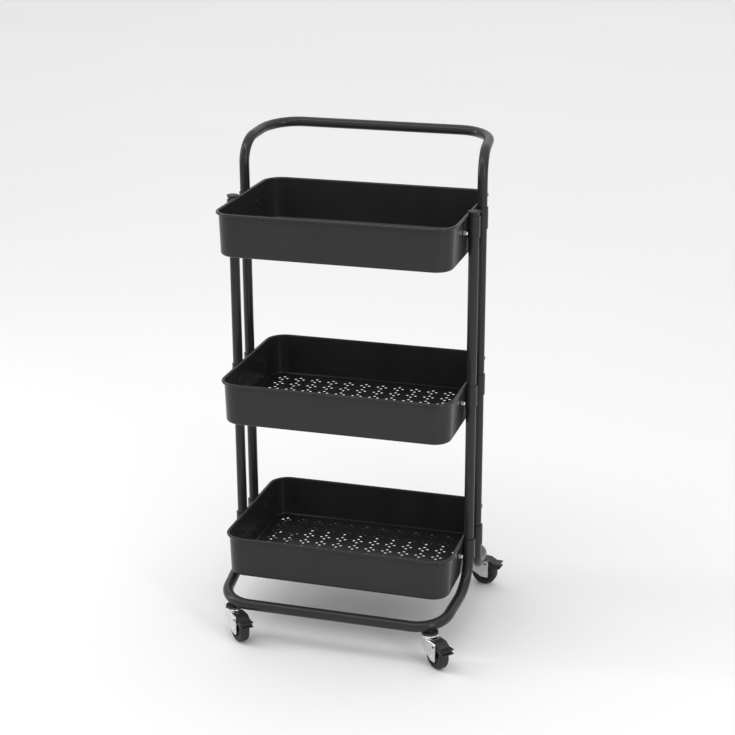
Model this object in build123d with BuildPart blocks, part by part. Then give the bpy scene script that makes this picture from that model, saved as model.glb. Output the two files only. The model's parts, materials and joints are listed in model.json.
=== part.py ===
"""Three-tier rolling utility cart: sheet-metal trays on a bent-tube frame with four braked casters.

Millimetres, +Z up, X along the trays' long sides, +Y towards the handle.
The origin is on the floor, midway between the four posts.
"""

from build123d import *
from math import atan, cos, degrees, radians, sin, tan
import os

# ---- Trays ---------------------------------------------------------------------------------
RIM_HALF_X = 214.4  # outermost face of the rolled rim, half length
RIM_HALF_Y = 150.6
TRAY_Y = -10.0  # the trays sit a little forward of the posts
RIM_CORNER = 38.0  # outer corner radius of the rim, in plan
BEAD_R = 2.8  # radius of the rolled rim
SHEET = 0.8  # tray sheet thickness
TRAY_DEPTH = 75.5  # rim centre to the underside of the floor
WALL_LEAN = 2.0  # how far each wall leans in over the tray depth
FLOOR_BEND = 5.0  # outside bend radius between wall and floor
RIM_Z = {"top": 790.0, "middle": 481.4, "bottom": 184.4}  # rim centre heights
PERFORATED = ("middle", "bottom")
HOLE_R = 2.7
HOLE_REACH = 7.6  # from a cluster's centre to each of its four holes
CLUSTERS_X = 12
CLUSTERS_Y = 9
PITCH_X = 32.7
PITCH_Y = 28.7

# ---- Frame tubes -----------------------------------------------------------------------------
POST_X = 219.8
POST_Y = 31.4
POST_R = 9.0
POST_WALL = 1.2
BASE_R = 9.9
BASE_WALL = 0.8
BASE_Z = 72.0  # crossbar centre height
BASE_KNEE_Z = 90.5  # where leg and arm centre lines meet
BASE_KNEE_R = 61.0
BASE_CORNER_R = 58.0
FRONT_BAR = (205.0, -189.5)  # corner of the front hoop: half width, Y
REAR_BAR = (206.0, 171.5)
HANDLE_KNEE_Z = 879.5
HANDLE_KNEE_R = 46.0
HANDLE_CORNER = (207.7, 162.3, 893.7)
HANDLE_CORNER_R = 65.0
POST_FOOT_Z = 148.0  # lower end of the lower posts, inside the base hoops
JOINER_HALF = 30.0
SCREW_Z = 781.0  # handle screws, through the fronts of the top rear sleeves
SCREW_R = 2.0
SCREW_LENGTH = 8.0
SCREW_HEAD_R = 3.6
SCREW_HEAD = 2.0

# ---- Tray brackets ---------------------------------------------------------------------------
PLATE = 1.5
PLATE_HALF_Y = 70.0
PLATE_CORNER = 4.0
SLEEVE_TOP = -3.2  # from the rim centre
SLEEVE_LENGTH = 38.0
SLEEVE_R = 10.8
SLIDE_GAP = 0.1
WEB_LENGTH = 6.0  # web between plate and sleeve
WEB_WIDTH = 8.0
BOLT_Y = 60.0
BOLT_DROP = 28.0  # bolt centre below the rim centre
BOLT_R = 2.5
BOLT_HEAD_R = 5.5
BOLT_HEAD = 1.6
NUT_HALF_WIDTH = 3.6  # across the flats
NUT_HEIGHT = 3.2
NUT_COLLAR_R = 3.2
NUT_COLLAR = 0.7
NUT_DOME = 1.6
NUT_DOME_TAPER = 35.0
CAP_HEIGHT = 2.4
CAP_EDGE = 0.8
CAP_PLUG = 14.0
CAP_PLUG_WALL = 2.0

# ---- Casters ---------------------------------------------------------------------------------
WHEEL_R = 25.0
TYRE_WIDTH = 19.0
TYRE_SHOULDER = 5.6
TYRE_LIP = 0.7
HUB_R = 18.0
HUB_WIDTH = 23.4
BOSS_R = 6.4
WEB_HALF = 3.5  # half thickness of the web between boss and rim
HUB_RIM_HALF = 8.0
HUB_RIM_R = 14.0  # inside of the rim
AXLE_R = 3.0
AXLE_HEAD_R = 3.8
AXLE_HEAD = 1.5
AXLE_HEAD_TAPER = 30.0
TRAIL = 23.5
FORK_GAP = 24.0  # between the legs
FORK_SHEET = 2.0
FORK_TOP = 54.0
FORK_SHOULDER = 3.2  # bend between the top and each leg
FORK_ROUND = 15.2  # radius of the top's front, about the stem
FORK_BACK = 35.0  # rear edge of the legs, from the stem
FORK_TOP_BACK = 15.5  # rear edge of the top, from the stem
FORK_EYE_R = 6.8  # round the axle
FORK_HEEL = (31.8, 21.4)  # centre and radius of the legs' rear lower corner
FORK_HEEL_R = 3.2
FORK_SHIN = (7.0, 34.0)  # the same for the bend in their front edge
FORK_SHIN_R = 6.5
RACE_R = 16.2
RACE_TOP = 58.4
RACE_EDGE = 1.6
GROOVE_DEPTH = 2.6
GROOVE_WALL = 3.0  # left standing inside and outside the groove
COLLAR_TOP = 61.6
COLLAR_LIFT = 0.3  # running gap over the race
COLLAR_TAPER = 12.0
COLLAR_SET = 1.0  # how much narrower the collar is than the race
BALL_R = 1.4
BALL_RING_R = 9.8
BALLS = 10
STEM_R = 4.0
STEM_HEAD_R = 6.5
STEM_HEAD = 3.0
INSERT_R = 6.0
INSERT_REACH = 4.0  # how far stem and insert pass the hoop's centre line

# ---- Brake pedals, in the caster's own X and Z -------------------------------------------------
PIVOT = (28.5, 46.0)
PIVOT_R = 2.0
CHEEK = 1.4  # cheek thickness
CHEEK_EYE_R = 4.2  # round the pivot
CHEEK_TOE_R = 2.0  # at the lower lip
PIN_PAST = 0.6  # how far each pin shows outside the fork
PEDAL_HALF_Y = 11.4
HOOD_CENTRE = (24.5, 21.0)
HOOD_R = 31.5  # inside of the hood
HOOD_SHEET = 2.0
HOOD_TURNS = (33.0, 99.0)  # the hood's two ends, in degrees up from +X
LIP_REACH = 57.0
LIP_SHEET = 1.8
LOWER_LIP_Z = 38.6
UPPER_LIP_Z = 46.6
UPPER_LIP_SET = 5.0  # how far the upper lip starts behind the lower

# ---- Caster positions --------------------------------------------------------------------------
STEM_SHARE = 0.42  # how far round the hoop's corner from the crossbar
# name: side in X, hoop, and the way the wheel trails, in degrees from +X
CASTERS = {
    "front_left": (-1, "front", -44.0),
    "front_right": (1, "front", -41.0),
    "rear_left": (-1, "rear", 150.0),
    "rear_right": (1, "rear", -8.0),
}

# ---- Worked out from the above ---------------------------------------------------------------
LEAN = degrees(atan(WALL_LEAN / TRAY_DEPTH))
WALL_X = RIM_HALF_X - 2 * BEAD_R + SHEET  # outer wall face at the rim centre
WALL_Y = RIM_HALF_Y - 2 * BEAD_R + SHEET
WALL_CORNER = RIM_CORNER - 2 * BEAD_R + SHEET
SLEEVE_MID = SLEEVE_TOP - SLEEVE_LENGTH / 2
JOINER_R = POST_R - POST_WALL - SLIDE_GAP
SPLICE_Z = RIM_Z["middle"] + SLEEVE_MID
HANDLE_FOOT_Z = RIM_Z["top"] + SLEEVE_MID
BASE_TOP_Z = RIM_Z["bottom"] + SLEEVE_TOP
POSTS = [(side_x * POST_X, side_y * POST_Y) for side_x in (-1, 1) for side_y in (-1, 1)]

os.makedirs("parts", exist_ok=True)


def save(piece, name):
    """Label a finished sub-part and write its STEP file."""
    piece.label = name
    export_step(piece, f"parts/{name}.step")


def wall_face(drop):
    """X of the end wall's outer face, a given drop below the rim centre."""
    return WALL_X - drop * tan(radians(LEAN))


def leaning_block(foot_z, inset, height, bend):
    """A block with outward-leaning sides and a rounded foot, inset from the wall's outer face."""
    with BuildPart() as block:
        with BuildSketch(Plane.XY.offset(foot_z)):
            with Locations((0, TRAY_Y)):
                RectangleRounded(2 * (WALL_X - inset), 2 * (WALL_Y - inset), WALL_CORNER - inset)
        extrude(amount=height, taper=-LEAN)
        fillet(block.faces().sort_by(Axis.Z)[0].edges(), radius=bend)
    return block.part


def make_tray(level):
    """A pressed tray: leaning walls, rolled rim, dented where the posts pass."""
    floor_z = RIM_Z[level] - TRAY_DEPTH
    inner_inset = WALL_LEAN + SHEET - SHEET * tan(radians(LEAN))
    outside = leaning_block(floor_z, WALL_LEAN, TRAY_DEPTH, FLOOR_BEND)
    inside = leaning_block(floor_z + SHEET, inner_inset, TRAY_DEPTH, FLOOR_BEND - SHEET)
    with BuildSketch(Plane.XY.offset(RIM_Z[level])) as rim_outline:
        with Locations((0, TRAY_Y)):
            RectangleRounded(2 * (RIM_HALF_X - BEAD_R), 2 * (RIM_HALF_Y - BEAD_R), RIM_CORNER - BEAD_R)
    rim_line = rim_outline.sketch.faces()[0].outer_wire()
    with BuildPart() as tray:
        add(outside)
        add(inside, mode=Mode.SUBTRACT)
        with BuildSketch(Plane(origin=rim_line @ 0, z_dir=rim_line % 0)):
            Circle(BEAD_R)
        sweep(path=rim_line)
        with BuildSketch(Plane.XY.offset(RIM_Z[level] - BEAD_R - 1)):
            with Locations(*POSTS):
                Circle(POST_R + 2 * SLIDE_GAP)
        extrude(amount=2 * BEAD_R + 2, mode=Mode.SUBTRACT)
        if level in PERFORATED:
            with BuildSketch(Plane.XY.offset(floor_z - SHEET)):
                with Locations((0, TRAY_Y)):
                    with GridLocations(PITCH_X, PITCH_Y, CLUSTERS_X, CLUSTERS_Y):
                        with PolarLocations(HOLE_REACH, 4):
                            Circle(HOLE_R)
            extrude(amount=3 * SHEET, mode=Mode.SUBTRACT)
        with Locations(*bolt_planes(level)):
            Cylinder(BOLT_R + SLIDE_GAP, 6 * SHEET, mode=Mode.SUBTRACT)
    return tray.part


def bolt_planes(level):
    """Planes on the end walls' outer faces, one for each bolt, facing outwards."""
    planes = []
    for side in (-1, 1):
        for bolt_y in (-BOLT_Y, BOLT_Y):
            planes.append(
                Plane(
                    origin=(side * wall_face(BOLT_DROP), bolt_y, RIM_Z[level] - BOLT_DROP),
                    z_dir=(side * cos(radians(LEAN)), 0, -sin(radians(LEAN))),
                )
            )
    return planes


def screw_planes():
    """Planes on the fronts of the top rear sleeves, one for each handle screw, facing forwards."""
    return [
        Plane(origin=(side * POST_X, POST_Y - SLEEVE_R, SCREW_Z), z_dir=(0, -1, 0))
        for side in (-1, 1)
    ]


def drill_for_screws():
    """Cut the handle screws' holes in the part being built."""
    with Locations(*screw_planes()):
        Cylinder(SCREW_R + SLIDE_GAP, 2 * SCREW_LENGTH + 1, mode=Mode.SUBTRACT)


def make_bracket(level, side):
    """An end bracket: a plate flat on the leaning wall, with a sleeve for each post."""
    bore = (BASE_R if level == "bottom" else POST_R) + SLIDE_GAP
    outer = SLEEVE_R + (BASE_R - POST_R if level == "bottom" else 0)
    low = RIM_Z[level] + SLEEVE_TOP - SLEEVE_LENGTH
    high = RIM_Z[level] + SLEEVE_TOP
    face_low = wall_face(SLEEVE_LENGTH - SLEEVE_TOP)
    face_high = wall_face(-SLEEVE_TOP)
    sleeves = [(side * POST_X, -POST_Y), (side * POST_X, POST_Y)]
    web_x = side * (POST_X - bore - WEB_LENGTH / 2)
    with BuildPart() as bracket:
        with BuildSketch(Plane.XZ):
            with BuildLine():
                Polyline(
                    (side * face_low, low),
                    (side * (face_low + PLATE), low),
                    (side * (face_high + PLATE), high),
                    (side * face_high, high),
                    close=True,
                )
            make_face()
        extrude(amount=PLATE_HALF_Y, both=True)
        fillet(bracket.edges().filter_by(lambda edge: edge.length < 2), radius=PLATE_CORNER)
        with BuildSketch(Plane.XY.offset(low)):
            with Locations(*sleeves):
                Circle(outer)
            with Locations((web_x, -POST_Y), (web_x, POST_Y)):
                Rectangle(WEB_LENGTH, WEB_WIDTH)
        extrude(amount=SLEEVE_LENGTH)
        with BuildSketch(Plane.XZ):
            with BuildLine():
                Polyline(
                    (side * (face_low - 20), low - 1),
                    (side * wall_face(SLEEVE_LENGTH - SLEEVE_TOP + 1), low - 1),
                    (side * wall_face(-SLEEVE_TOP - 1), high + 1),
                    (side * (face_low - 20), high + 1),
                    close=True,
                )
            make_face()
        extrude(amount=PLATE_HALF_Y + 1, both=True, mode=Mode.SUBTRACT)
        with BuildSketch(Plane.XY.offset(low - 1)):
            with Locations(*sleeves):
                Circle(bore)
        extrude(amount=SLEEVE_LENGTH + 2, mode=Mode.SUBTRACT)
        with Locations(*[plane for plane in bolt_planes(level) if plane.origin.X * side > 0]):
            Cylinder(BOLT_R + SLIDE_GAP, 6 * PLATE, mode=Mode.SUBTRACT)
        if level == "top":
            drill_for_screws()
    return bracket.part


def hoop_line(bar):
    """Centre line of a base hoop, from one post round the crossbar to the other."""
    half_width, bar_y = bar
    leg_y = POST_Y if bar_y > 0 else -POST_Y
    with BuildLine() as line:
        FilletPolyline(
            (-POST_X, leg_y, BASE_TOP_Z),
            (-POST_X, leg_y, BASE_KNEE_Z),
            (-half_width, bar_y, BASE_Z),
            (half_width, bar_y, BASE_Z),
            (POST_X, leg_y, BASE_KNEE_Z),
            (POST_X, leg_y, BASE_TOP_Z),
            radius=[BASE_KNEE_R, BASE_CORNER_R, BASE_CORNER_R, BASE_KNEE_R],
        )
    return line.line


def stem_point(side, hoop):
    """Where a caster's stem axis crosses the hoop's centre line, on the bend beside the crossbar."""
    line = hoop_line(FRONT_BAR if hoop == "front" else REAR_BAR)
    arcs = line.edges().filter_by(lambda edge: edge.geom_type == GeomType.CIRCLE)
    corner = arcs.filter_by(lambda edge: abs(edge.radius - BASE_CORNER_R) < 0.1).sort_by(Axis.X)[-1]
    share = STEM_SHARE if (corner @ 0).X < (corner @ 1).X else 1 - STEM_SHARE
    point = corner @ share
    return Vector(side * point.X, point.Y, point.Z)


def make_hoop(hoop):
    """A base hoop: one bent tube, drilled underneath for its two caster inserts."""
    line = hoop_line(FRONT_BAR if hoop == "front" else REAR_BAR)
    stems = [stem_point(side, hoop) for side in (-1, 1)]
    with BuildPart() as tube:
        with BuildSketch(Plane(origin=line @ 0, z_dir=line % 0)):
            Circle(BASE_R)
            Circle(BASE_R - BASE_WALL, mode=Mode.SUBTRACT)
        sweep(path=line)
        with BuildSketch(Plane.XY.offset(BASE_Z - BASE_R - 2)):
            with Locations(*[(stem.X, stem.Y) for stem in stems]):
                Circle(INSERT_R)
        extrude(amount=BASE_R, mode=Mode.SUBTRACT)
    return tube.part


def make_handle():
    """The push handle: one bent tube that leans back over the rear of the top tray."""
    corner_x, corner_y, corner_z = HANDLE_CORNER
    with BuildLine() as line:
        FilletPolyline(
            (-POST_X, POST_Y, HANDLE_FOOT_Z),
            (-POST_X, POST_Y, HANDLE_KNEE_Z),
            (-corner_x, corner_y, corner_z),
            (corner_x, corner_y, corner_z),
            (POST_X, POST_Y, HANDLE_KNEE_Z),
            (POST_X, POST_Y, HANDLE_FOOT_Z),
            radius=[HANDLE_KNEE_R, HANDLE_CORNER_R, HANDLE_CORNER_R, HANDLE_KNEE_R],
        )
    with BuildPart() as tube:
        with BuildSketch(Plane(origin=line.line @ 0, z_dir=line.line % 0)):
            Circle(POST_R)
            Circle(POST_R - POST_WALL, mode=Mode.SUBTRACT)
        sweep(path=line.line)
        drill_for_screws()
    return tube.part


def make_post(point, foot, head):
    """A straight length of post tube."""
    with BuildPart() as post:
        with BuildSketch(Plane.XY.offset(foot)):
            with Locations(point):
                Circle(POST_R)
                Circle(POST_R - POST_WALL, mode=Mode.SUBTRACT)
        extrude(amount=head - foot)
    return post.part


def make_cap(point):
    """A push-in end cap: a chamfered disc with a hollow plug below it."""
    seat = RIM_Z["top"] + BEAD_R + 2 * SLIDE_GAP
    with BuildPart() as cap:
        with BuildSketch(Plane.XY.offset(seat)):
            with Locations(point):
                Circle(SLEEVE_R)
        extrude(amount=CAP_HEIGHT)
        chamfer(cap.edges().sort_by(Axis.Z)[-1], length=CAP_EDGE)
        with BuildSketch(Plane.XY.offset(seat - CAP_PLUG)):
            with Locations(point):
                Circle(JOINER_R)
                Circle(JOINER_R - CAP_PLUG_WALL, mode=Mode.SUBTRACT)
        extrude(amount=CAP_PLUG)
    return cap.part


def make_joiners():
    """Moulded plugs that join post to post in the middle sleeves and handle to post in the top ones."""
    with BuildPart() as joiners:
        for point in POSTS:
            splice = Plane.XY.offset(SPLICE_Z - JOINER_HALF)
            with BuildSketch(splice):
                with Locations(point):
                    Circle(JOINER_R)
            extrude(amount=2 * JOINER_HALF)
        with BuildSketch(Plane.XY.offset(HANDLE_FOOT_Z - JOINER_HALF)):
            with Locations((-POST_X, POST_Y), (POST_X, POST_Y)):
                Circle(JOINER_R)
        extrude(amount=2 * JOINER_HALF)
        drill_for_screws()
    return joiners.part


def make_tray_bolts():
    """Low-headed bolts through the tray walls from inside, four to a tray."""
    with BuildPart() as bolts:
        for level in RIM_Z:
            for face in bolt_planes(level):
                with BuildSketch(face.offset(-SHEET - BOLT_HEAD)):
                    Circle(BOLT_HEAD_R)
                extrude(amount=BOLT_HEAD)
                with BuildSketch(face.offset(-SHEET)):
                    Circle(BOLT_R)
                extrude(amount=SHEET + PLATE + NUT_HEIGHT)
    return bolts.part


def make_tray_nuts():
    """Cap nuts on the brackets' outer faces: a hexagon with a dome."""
    with BuildPart() as nuts:
        for level in RIM_Z:
            for face in bolt_planes(level):
                with BuildSketch(face.offset(PLATE)):
                    RegularPolygon(NUT_HALF_WIDTH, 6, major_radius=False)
                    Circle(BOLT_R, mode=Mode.SUBTRACT)
                extrude(amount=NUT_HEIGHT)
                with BuildSketch(face.offset(PLATE + NUT_HEIGHT)):
                    Circle(NUT_COLLAR_R)
                extrude(amount=NUT_COLLAR)
                with BuildSketch(face.offset(PLATE + NUT_HEIGHT + NUT_COLLAR)):
                    Circle(NUT_COLLAR_R)
                extrude(amount=NUT_DOME, taper=NUT_DOME_TAPER)
    return nuts.part


def make_handle_screws():
    """Screws that lock the handle's legs in the top rear sleeves, from the front."""
    with BuildPart() as screws:
        for face in screw_planes():
            with BuildSketch(face):
                Circle(SCREW_HEAD_R)
            extrude(amount=SCREW_HEAD)
            with BuildSketch(face):
                Circle(SCREW_R)
            extrude(amount=-SCREW_LENGTH)
    return screws.part


def make_inserts():
    """Threaded inserts welded into the underside of the base hoops."""
    with BuildPart() as inserts:
        for side, hoop, _ in CASTERS.values():
            stem = stem_point(side, hoop)
            with BuildSketch(Plane.XY.offset(COLLAR_TOP)):
                with Locations((stem.X, stem.Y)):
                    Circle(INSERT_R)
                    Circle(STEM_R, mode=Mode.SUBTRACT)
            extrude(amount=BASE_Z + INSERT_REACH - COLLAR_TOP)
    return inserts.part


def caster_plane(name):
    """A caster's own plane: origin on the floor under its stem, X the way the wheel trails."""
    side, hoop, trail_turn = CASTERS[name]
    stem = stem_point(side, hoop)
    along = (cos(radians(trail_turn)), sin(radians(trail_turn)), 0)
    return Plane(origin=(stem.X, stem.Y, 0), x_dir=along, z_dir=(0, 0, 1))


def side_view(base):
    """The caster's XZ plane: X along the trail, Y up, facing its left side."""
    return Plane(origin=base.origin, x_dir=base.x_dir, z_dir=-base.y_dir)


def make_stem(base):
    """Threaded stem, with the rivet head under the fork that holds it on."""
    under_fork = FORK_TOP - FORK_SHEET - SLIDE_GAP
    with BuildPart() as stem:
        with BuildSketch(base.offset(under_fork - STEM_HEAD)):
            Circle(STEM_HEAD_R)
        extrude(amount=STEM_HEAD)
        with BuildSketch(base.offset(under_fork)):
            Circle(STEM_R)
        extrude(amount=BASE_Z + INSERT_REACH - under_fork)
    return stem.part


def make_race(base):
    """The swivel bearing's lower cup, seated on the fork."""
    with BuildPart() as race:
        with BuildSketch(base.offset(FORK_TOP)):
            Circle(RACE_R)
            Circle(STEM_R + 3 * SLIDE_GAP, mode=Mode.SUBTRACT)
        extrude(amount=RACE_TOP - FORK_TOP)
        fillet(race.edges().group_by(Axis.Z)[-1].sort_by(SortBy.LENGTH)[-1], RACE_EDGE)
        with BuildSketch(base.offset(RACE_TOP - GROOVE_DEPTH)):
            Circle(RACE_R - GROOVE_WALL)
            Circle(STEM_R + GROOVE_WALL, mode=Mode.SUBTRACT)
        extrude(amount=2 * GROOVE_DEPTH, mode=Mode.SUBTRACT)
    return race.part


def make_fork(base):
    """Pressed fork: a broad plate down each side of the wheel, joined by a round-fronted top."""
    half = FORK_GAP / 2 + FORK_SHEET
    across = Plane(origin=base.origin - base.x_dir * FORK_BACK, x_dir=base.y_dir, z_dir=base.x_dir)
    with BuildPart() as fork:
        with BuildSketch(across) as section:
            with Locations((0, FORK_TOP / 2)):
                Rectangle(2 * half, FORK_TOP)
            fillet(section.vertices().group_by(Axis.Y)[-1], radius=FORK_SHOULDER)
            with Locations((0, FORK_TOP / 2 - FORK_SHEET)):
                Rectangle(FORK_GAP, FORK_TOP, mode=Mode.SUBTRACT)
        extrude(amount=3 * FORK_BACK)
        with BuildSketch(side_view(base)):
            with Locations((TRAIL, WHEEL_R)):
                Circle(FORK_EYE_R)
            with Locations(FORK_HEEL):
                Circle(FORK_HEEL_R)
            with Locations(FORK_SHIN):
                Circle(FORK_SHIN_R)
            with Locations(((FORK_BACK - FORK_ROUND) / 2, FORK_TOP - FORK_SHEET)):
                Rectangle(FORK_BACK + FORK_ROUND, 2 * FORK_SHEET)
            make_hull()
        extrude(amount=2 * half, both=True, mode=Mode.INTERSECT)
        with BuildSketch(base):
            Circle(FORK_ROUND)
            with Locations((FORK_BACK / 2, 0)):
                Rectangle(FORK_BACK, 2 * half)
        extrude(amount=FORK_TOP, mode=Mode.INTERSECT)
        with BuildSketch(base):
            with Locations((FORK_TOP_BACK + FORK_BACK / 2, 0)):
                Rectangle(FORK_BACK, FORK_GAP)
            Circle(STEM_R + SLIDE_GAP)
        extrude(amount=FORK_TOP, mode=Mode.SUBTRACT)
        with BuildSketch(side_view(base)):
            with Locations((TRAIL, WHEEL_R)):
                Circle(AXLE_R + SLIDE_GAP)
            with Locations(PIVOT):
                Circle(PIVOT_R + SLIDE_GAP)
        extrude(amount=2 * half, both=True, mode=Mode.SUBTRACT)
    return fork.part


def make_axle(base):
    """Axle pin, riveted over to a shallow round head at each end."""
    side = side_view(base)
    leg = FORK_GAP / 2 + FORK_SHEET
    with BuildPart() as axle:
        with BuildSketch(side.offset(-leg)):
            with Locations((TRAIL, WHEEL_R)):
                Circle(AXLE_R)
        extrude(amount=2 * leg)
        for turn in (-1, 1):
            with BuildSketch(side.offset(turn * leg)):
                with Locations((TRAIL, WHEEL_R)):
                    Circle(AXLE_HEAD_R)
            extrude(amount=turn * AXLE_HEAD, taper=AXLE_HEAD_TAPER)
    return axle.part


def axle_section(base):
    """A half-section plane through the axle: X along the axle, Y up from its centre line."""
    centre = base.origin + base.x_dir * TRAIL + base.z_dir * WHEEL_R
    return Plane(origin=centre, x_dir=base.y_dir, z_dir=base.x_dir)


def make_hub(base):
    """Moulded wheel centre: a bored boss, a thin web and a rim for the tyre."""
    section = axle_section(base)
    boss = HUB_WIDTH / 2
    with BuildPart() as hub:
        with BuildSketch(section):
            with BuildLine():
                Polyline(
                    (-boss, AXLE_R + SLIDE_GAP),
                    (boss, AXLE_R + SLIDE_GAP),
                    (boss, BOSS_R),
                    (WEB_HALF, BOSS_R),
                    (WEB_HALF, HUB_RIM_R),
                    (HUB_RIM_HALF, HUB_RIM_R),
                    (HUB_RIM_HALF, HUB_R),
                    (-HUB_RIM_HALF, HUB_R),
                    (-HUB_RIM_HALF, HUB_RIM_R),
                    (-WEB_HALF, HUB_RIM_R),
                    (-WEB_HALF, BOSS_R),
                    (-boss, BOSS_R),
                    close=True,
                )
            make_face()
        revolve(axis=Axis(section.origin, section.x_dir))
    return hub.part


def make_tyre(base):
    """Solid tyre with a crowned tread."""
    section = axle_section(base)
    with BuildPart() as tyre:
        with BuildSketch(section) as outline:
            with Locations((0, (HUB_R + WHEEL_R) / 2)):
                Rectangle(TYRE_WIDTH, WHEEL_R - HUB_R)
            fillet(outline.vertices().group_by(Axis.Y)[-1], radius=TYRE_SHOULDER)
            fillet(outline.vertices().group_by(Axis.Y)[0], radius=TYRE_LIP)
        revolve(axis=Axis(section.origin, section.x_dir))
    return tyre.part


def make_pedal(base):
    """Brake pedal: a curved hood over the back of the tyre, two lips, and a pivoted cheek each side."""
    side = side_view(base)
    pin_end = FORK_GAP / 2 + FORK_SHEET + PIN_PAST
    turns = [radians(turn) for turn in HOOD_TURNS]
    beyond = 2 * HOOD_R
    wedge = [(HOOD_CENTRE[0] + beyond * cos(turn), HOOD_CENTRE[1] + beyond * sin(turn)) for turn in turns]
    root = HOOD_CENTRE[0] + HOOD_R * cos(turns[0])
    with BuildPart() as pedal:
        with BuildSketch(side):
            with Locations(HOOD_CENTRE):
                Circle(HOOD_R + HOOD_SHEET)
                Circle(HOOD_R, mode=Mode.SUBTRACT)
            with BuildLine():
                Polyline(HOOD_CENTRE, wedge[0], wedge[1], close=True)
            make_face(mode=Mode.INTERSECT)
            for lip_z, lip_root in ((LOWER_LIP_Z, root), (UPPER_LIP_Z, root - UPPER_LIP_SET)):
                with Locations((lip_root, lip_z)):
                    Rectangle(LIP_REACH - lip_root, LIP_SHEET, align=(Align.MIN, Align.MIN))
        extrude(amount=PEDAL_HALF_Y, both=True)
        for turn in (-1, 1):
            with BuildSketch(side.offset(turn * (PEDAL_HALF_Y - CHEEK))):
                with Locations(PIVOT):
                    Circle(CHEEK_EYE_R)
                with Locations((root - CHEEK_TOE_R / 2, LOWER_LIP_Z + CHEEK_TOE_R)):
                    Circle(CHEEK_TOE_R)
                make_hull()
            extrude(amount=turn * CHEEK)
            with BuildSketch(side.offset(turn * (PEDAL_HALF_Y - CHEEK))):
                with Locations(PIVOT):
                    Circle(PIVOT_R)
            extrude(amount=turn * (pin_end - PEDAL_HALF_Y + CHEEK))
    return pedal.part


def make_collars(planes):
    """Dust covers under the base hoops, one over each swivel bearing."""
    with BuildPart() as collars:
        for base in planes:
            with BuildSketch(base.offset(RACE_TOP + COLLAR_LIFT)):
                Circle(RACE_R - COLLAR_SET)
                Circle(STEM_R, mode=Mode.SUBTRACT)
            extrude(amount=COLLAR_TOP - RACE_TOP - COLLAR_LIFT, taper=COLLAR_TAPER)
    return collars.part


def make_balls(planes):
    """The swivel bearings' balls, in a ring between each race and its collar."""
    with BuildPart() as balls:
        for base in planes:
            with Locations(base.offset(RACE_TOP - GROOVE_DEPTH + BALL_R)):
                with PolarLocations(BALL_RING_R, BALLS):
                    Sphere(BALL_R)
    return balls.part


# ---- Sub-parts --------------------------------------------------------------------------------
for level_name in RIM_Z:
    save(make_tray(level_name), f"{level_name}_tray")
    save(make_bracket(level_name, -1), f"{level_name}_bracket_left")
    save(make_bracket(level_name, 1), f"{level_name}_bracket_right")

save(make_hoop("front"), "base_hoop_front")
save(make_hoop("rear"), "base_hoop_rear")
save(make_handle(), "handle_tube")

for post_x, post_y in POSTS:
    corner_name = ("front" if post_y < 0 else "rear") + ("_left" if post_x < 0 else "_right")
    upper_end = RIM_Z["top"] + BEAD_R if post_y < 0 else HANDLE_FOOT_Z
    save(make_post((post_x, post_y), POST_FOOT_Z, SPLICE_Z), f"lower_post_{corner_name}")
    save(make_post((post_x, post_y), SPLICE_Z, upper_end), f"upper_post_{corner_name}")

save(make_cap((-POST_X, -POST_Y)), "post_cap_left")
save(make_cap((POST_X, -POST_Y)), "post_cap_right")
save(make_joiners(), "post_joiners")
save(make_tray_bolts(), "tray_bolts")
save(make_tray_nuts(), "tray_nuts")
save(make_handle_screws(), "handle_screws")
save(make_inserts(), "caster_inserts")

caster_planes = {name: caster_plane(name) for name in CASTERS}
save(make_collars(caster_planes.values()), "swivel_collars")
save(make_balls(caster_planes.values()), "swivel_balls")
for name, caster_base in caster_planes.items():
    save(make_stem(caster_base), f"caster_stem_{name}")
    save(make_race(caster_base), f"swivel_race_{name}")
    save(make_fork(caster_base), f"caster_fork_{name}")
    save(make_axle(caster_base), f"axle_{name}")
    save(make_hub(caster_base), f"wheel_hub_{name}")
    save(make_tyre(caster_base), f"wheel_tyre_{name}")
    save(make_pedal(caster_base), f"brake_pedal_{name}")
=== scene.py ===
"""Looks for the three-tier rolling utility cart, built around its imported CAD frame.

Metres, in the frame's own axes: X along the trays, +Y towards the push handle, +Z up, floor at
z = 0. Every visible surface is a CAD node with a procedural material; nothing is modelled here
except the floor it stands on.
"""

import bpy
import json
import math
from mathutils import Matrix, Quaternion, Vector

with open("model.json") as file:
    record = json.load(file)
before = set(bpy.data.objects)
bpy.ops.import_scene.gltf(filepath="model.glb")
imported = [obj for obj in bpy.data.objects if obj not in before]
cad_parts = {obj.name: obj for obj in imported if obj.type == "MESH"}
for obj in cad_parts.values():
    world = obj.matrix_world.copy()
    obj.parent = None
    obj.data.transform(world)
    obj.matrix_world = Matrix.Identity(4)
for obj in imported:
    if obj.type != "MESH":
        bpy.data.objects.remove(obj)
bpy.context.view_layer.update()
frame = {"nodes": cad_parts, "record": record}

# ---- Camera ------------------------------------------------------------------------------------
CAMERA_PLACE = (0.8420, -2.7778, 1.4954)
CAMERA_TURN = 16.50  # degrees the view direction swings from +Y towards -X
CAMERA_DIP = 19.28  # degrees below level
CAMERA_ROLL = -0.27  # degrees about its own line of sight
CAMERA_REACH = 60.0  # nothing further off than this is drawn
LENS_MM = 82.73
SENSOR_MM = 36.0

# ---- Surroundings ------------------------------------------------------------------------------
FLOOR_HALF = 16.0  # from the middle of the floor to each edge
WORLD_TONE = (0.985, 0.99, 1.0, 1.0)
WORLD_STRENGTH = 0.75


def collection_add(thing):
    """Link a new object into the scene."""
    bpy.context.scene.collection.objects.link(thing)
    return thing


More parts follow.
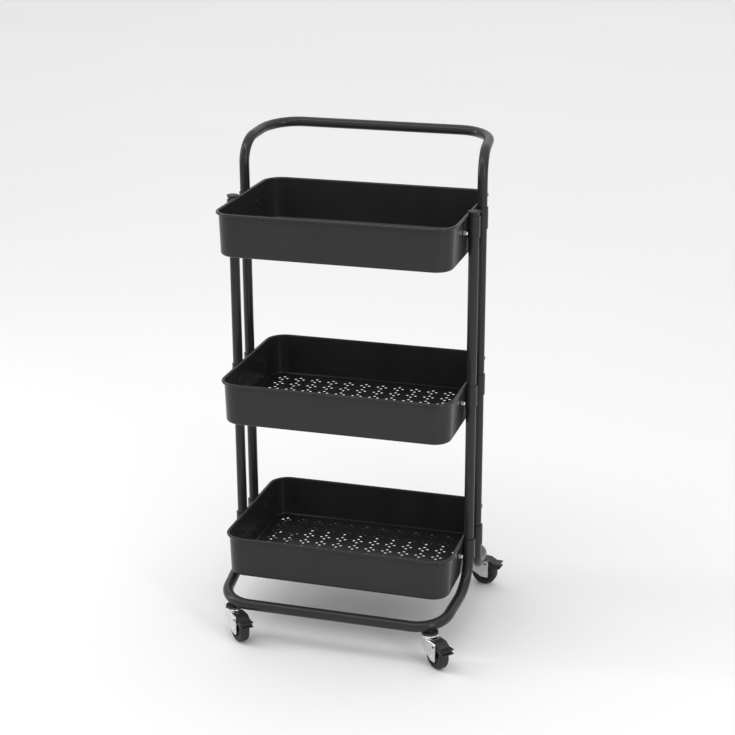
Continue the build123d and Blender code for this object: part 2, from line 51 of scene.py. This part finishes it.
# ---- Node helpers ------------------------------------------------------------------------------
class Shader:
    """A small wrapper for building one procedural material."""

    def __init__(self, name):
        self.material = bpy.data.materials.new(name)
        self.material.use_nodes = True
        self.tree = self.material.node_tree
        self.tree.nodes.clear()
        self.output = self.tree.nodes.new("ShaderNodeOutputMaterial")
        self.surface = self.tree.nodes.new("ShaderNodeBsdfPrincipled")
        self.tree.links.new(self.surface.outputs["BSDF"], self.output.inputs["Surface"])
        self.place = self.tree.nodes.new("ShaderNodeTexCoord").outputs["Object"]

    def link(self, source, target):
        self.tree.links.new(source, target)

    def stretched(self, factors):
        """The object's coordinates, scaled along each axis."""
        node = self.tree.nodes.new("ShaderNodeMapping")
        node.inputs["Scale"].default_value = factors
        self.link(self.place, node.inputs["Vector"])
        return node.outputs["Vector"]

    def noise(self, scale, detail=3.0, roughness=0.55, where=None):
        """Cloudy noise. The scale is roughly its features per metre."""
        node = self.tree.nodes.new("ShaderNodeTexNoise")
        node.inputs["Scale"].default_value = scale
        node.inputs["Detail"].default_value = detail
        node.inputs["Roughness"].default_value = roughness
        self.link(where or self.place, node.inputs["Vector"])
        return node.outputs["Fac"]

    def cells(self, scale):
        """Flat cells, each of its own random tone."""
        node = self.tree.nodes.new("ShaderNodeTexVoronoi")
        node.inputs["Scale"].default_value = scale
        self.link(self.place, node.inputs["Vector"])
        return node.outputs["Color"]

    def ramp(self, value, low, high, from_tone, to_tone):
        """Map a texture's value between two limits to a blend of two colours."""
        node = self.tree.nodes.new("ShaderNodeValToRGB")
        node.color_ramp.elements[0].position = low
        node.color_ramp.elements[1].position = high
        node.color_ramp.elements[0].color = from_tone
        node.color_ramp.elements[1].color = to_tone
        self.link(value, node.inputs["Fac"])
        return node.outputs["Color"]

    def spread(self, value, low, high, from_value, to_value):
        """Map a texture's value from one range of numbers to another."""
        node = self.tree.nodes.new("ShaderNodeMapRange")
        limits = {"From Min": low, "From Max": high, "To Min": from_value, "To Max": to_value}
        for socket, number in limits.items():
            node.inputs[socket].default_value = number
        self.link(value, node.inputs["Value"])
        return node.outputs["Result"]

    def bump(self, height, depth, strength=1.0, under=None):
        """Relief of this depth, on top of an earlier bump if one is given."""
        node = self.tree.nodes.new("ShaderNodeBump")
        node.inputs["Distance"].default_value = depth
        node.inputs["Strength"].default_value = strength
        self.link(height, node.inputs["Height"])
        if under is not None:
            self.link(under, node.inputs["Normal"])
        return node.outputs["Normal"]

    def finish(self, color, roughness, normal, metallic=0.0, specular=0.5):
        """Join the textures to the surface and hand the material over."""
        self.link(color, self.surface.inputs["Base Color"])
        self.link(roughness, self.surface.inputs["Roughness"])
        self.link(normal, self.surface.inputs["Normal"])
        self.surface.inputs["Metallic"].default_value = metallic
        self.surface.inputs["Specular IOR Level"].default_value = specular
        return self.material


def grey(tone, warmth=0.0):
    """An opaque grey: warmer where warmth is above 0, cooler where it is below."""
    return (tone * (1 + warmth), tone, tone * (1 - warmth), 1.0)


# ---- Materials ---------------------------------------------------------------------------------
def powder_coat():
    """Satin black powder coat: faint mottle, soft gloss variation, orange peel and a finer grain."""
    shader = Shader("black_powder_coat")
    mottle = shader.noise(scale=14.0, detail=2.0, roughness=0.5)
    color = shader.ramp(mottle, low=0.1, high=0.9, from_tone=grey(0.018), to_tone=grey(0.023, 0.01))
    cloud = shader.noise(scale=9.0, detail=2.0, roughness=0.5)
    roughness = shader.spread(cloud, low=0.1, high=0.9, from_value=0.2, to_value=0.3)
    peel = shader.bump(shader.noise(scale=600.0, detail=2.0, roughness=0.5), depth=0.00005, strength=0.16)
    fine = shader.noise(scale=2200.0, detail=1.0, roughness=0.5)
    grain = shader.bump(fine, depth=0.00002, strength=0.1, under=peel)
    return shader.finish(color, roughness, grain, specular=0.29)


def black_plastic():
    """Moulded black plastic with a fine spark-eroded texture."""
    shader = Shader("black_plastic")
    patches = shader.noise(scale=70.0, detail=3.0)
    color = shader.ramp(patches, low=0.35, high=0.7, from_tone=grey(0.010), to_tone=grey(0.018))
    cloud = shader.noise(scale=180.0, detail=2.0)
    roughness = shader.spread(cloud, low=0.3, high=0.7, from_value=0.42, to_value=0.56)
    grain = shader.bump(shader.noise(scale=3200.0, detail=2.0), depth=0.00004, strength=0.5)
    return shader.finish(color, roughness, grain, specular=0.45)


def black_rubber():
    """Tyres: matt, scuffed, with a little floor dust."""
    shader = Shader("black_rubber")
    scuffs = shader.noise(scale=240.0, detail=5.0, roughness=0.7)
    color = shader.ramp(scuffs, low=0.42, high=0.78, from_tone=grey(0.012), to_tone=grey(0.034, 0.03))
    roughness = shader.spread(scuffs, low=0.3, high=0.75, from_value=0.5, to_value=0.72)
    pits = shader.bump(shader.noise(scale=1500.0, detail=3.0), depth=0.00008, strength=0.5)
    return shader.finish(color, roughness, pits, specular=0.4)


def zinc_plate():
    """Bright zinc on steel: faint crystals, upright drawing marks and uneven gloss."""
    shader = Shader("zinc_plate")
    crystals = shader.cells(scale=420.0)
    color = shader.ramp(crystals, low=0.1, high=0.9, from_tone=grey(0.66, -0.01), to_tone=grey(0.8, 0.005))
    upright = shader.stretched((6.0, 6.0, 1.0))
    drawn = shader.noise(scale=90.0, detail=4.0, roughness=0.6, where=upright)
    roughness = shader.spread(drawn, low=0.3, high=0.75, from_value=0.16, to_value=0.32)
    marks = shader.bump(drawn, depth=0.00005, strength=0.4)
    return shader.finish(color, roughness, marks, metallic=1.0)


def blackened_steel():
    """Tray bolts, threaded inserts and swivel collars: dark, slightly uneven finish."""
    shader = Shader("black_oxide_steel")
    patches = shader.noise(scale=300.0, detail=3.0)
    color = shader.ramp(patches, low=0.35, high=0.7, from_tone=grey(0.045, -0.02), to_tone=grey(0.09, 0.01))
    cloud = shader.noise(scale=500.0, detail=2.0)
    roughness = shader.spread(cloud, low=0.3, high=0.7, from_value=0.3, to_value=0.45)
    grain = shader.bump(shader.noise(scale=1800.0, detail=2.0), depth=0.00003, strength=0.4)
    return shader.finish(color, roughness, grain, metallic=0.7)


def bearing_steel():
    """Polished bearing balls with a slightly uneven gloss."""
    shader = Shader("bearing_steel")
    patches = shader.noise(scale=400.0, detail=2.0)
    color = shader.ramp(patches, low=0.35, high=0.7, from_tone=grey(0.55, 0.02), to_tone=grey(0.66))
    cloud = shader.noise(scale=700.0, detail=2.0)
    roughness = shader.spread(cloud, low=0.3, high=0.7, from_value=0.1, to_value=0.2)
    ripple = shader.bump(shader.noise(scale=900.0, detail=1.0), depth=0.00001, strength=0.2)
    return shader.finish(color, roughness, ripple, metallic=1.0)


def studio_floor():
    """Matt white studio floor."""
    shader = Shader("studio_floor")
    patches = shader.noise(scale=0.8, detail=2.0)
    color = shader.ramp(patches, low=0.3, high=0.7, from_tone=grey(0.82), to_tone=grey(0.835))
    cloud = shader.noise(scale=40.0, detail=2.0)
    roughness = shader.spread(cloud, low=0.3, high=0.7, from_value=0.75, to_value=0.85)
    grain = shader.bump(shader.noise(scale=500.0, detail=2.0), depth=0.00005, strength=0.1)
    return shader.finish(color, roughness, grain, specular=0.2)


MATERIALS = {
    "black_powder_coat": powder_coat(),
    "black_plastic": black_plastic(),
    "black_rubber": black_rubber(),
    "zinc_plate": zinc_plate(),
    "black_oxide_steel": blackened_steel(),
    "bearing_steel": bearing_steel(),
}
SLOT_OF = {part["node"]: part["material_slot"] for part in frame["record"]["subparts"]}

# Each CAD node keeps its mesh and takes the material of its slot in the record.
for node_name, node in frame["nodes"].items():
    node.data.materials.clear()
    node.data.materials.append(MATERIALS[SLOT_OF[node_name]])


# ---- Stage -------------------------------------------------------------------------------------
def build_floor():
    """One flat pale sheet under the cart. Its far edge shows only in low views."""
    mesh = bpy.data.meshes.new("studio_floor")
    corners = [(-FLOOR_HALF, -FLOOR_HALF, 0), (FLOOR_HALF, -FLOOR_HALF, 0),
               (FLOOR_HALF, FLOOR_HALF, 0), (-FLOOR_HALF, FLOOR_HALF, 0)]
    mesh.from_pydata(corners, [], [(0, 1, 2, 3)])
    mesh.materials.append(studio_floor())
    floor = collection_add(bpy.data.objects.new("studio_floor", mesh))


def softbox(name, place, aim, width, height, power):
    """A rectangular area light of this many watts, pointing at a spot."""
    light = bpy.data.lights.new(name, "AREA")
    light.shape = "RECTANGLE"
    light.size = width
    light.size_y = height
    light.energy = power
    holder = collection_add(bpy.data.objects.new(name, light))
    holder.location = place
    holder.rotation_euler = (Vector(aim) - Vector(place)).to_track_quat("-Z", "Y").to_euler()


def build_lights():
    """A broad ceiling light centred behind the cart, three weak strips round it, an even backdrop."""
    softbox("ceiling_softbox", place=(0.0, 4.0, 6.5), aim=(0.0, 4.0, 0.0),
            width=16.0, height=18.0, power=385.0)
    softbox("overhead_strip", place=(-0.3, -0.9, 2.3), aim=(0.0, 0.0, 0.8),
            width=2.4, height=0.22, power=9.0)
    softbox("left_strip", place=(-2.3, -0.4, 1.4), aim=(0.0, 0.0, 0.5),
            width=0.2, height=1.8, power=14.0)
    softbox("right_strip", place=(2.1, -1.6, 1.3), aim=(0.0, 0.0, 0.5),
            width=0.2, height=1.6, power=12.0)
    world = bpy.data.worlds.new("studio")
    world.use_nodes = True
    backdrop = world.node_tree.nodes["Background"]
    backdrop.inputs["Color"].default_value = WORLD_TONE
    backdrop.inputs["Strength"].default_value = WORLD_STRENGTH
    bpy.context.scene.world = world


def build_camera():
    """The photograph's viewpoint: from the front, to the right and above."""
    turn, dip = math.radians(CAMERA_TURN), math.radians(CAMERA_DIP)
    level = math.cos(dip)
    ahead = Vector((-math.sin(turn) * level, math.cos(turn) * level, -math.sin(dip)))
    lens = bpy.data.cameras.new("camera")
    lens.lens = LENS_MM
    lens.sensor_width = SENSOR_MM
    lens.clip_end = CAMERA_REACH
    camera = collection_add(bpy.data.objects.new("camera", lens))
    camera.location = CAMERA_PLACE
    upright = ahead.to_track_quat("-Z", "Y")
    camera.rotation_euler = (upright @ Quaternion((0, 0, 1), math.radians(CAMERA_ROLL))).to_euler()
    bpy.context.scene.camera = camera


build_floor()
build_lights()
build_camera()
bpy.context.scene.view_settings.view_transform = "Standard"

bpy.context.view_layer.update()
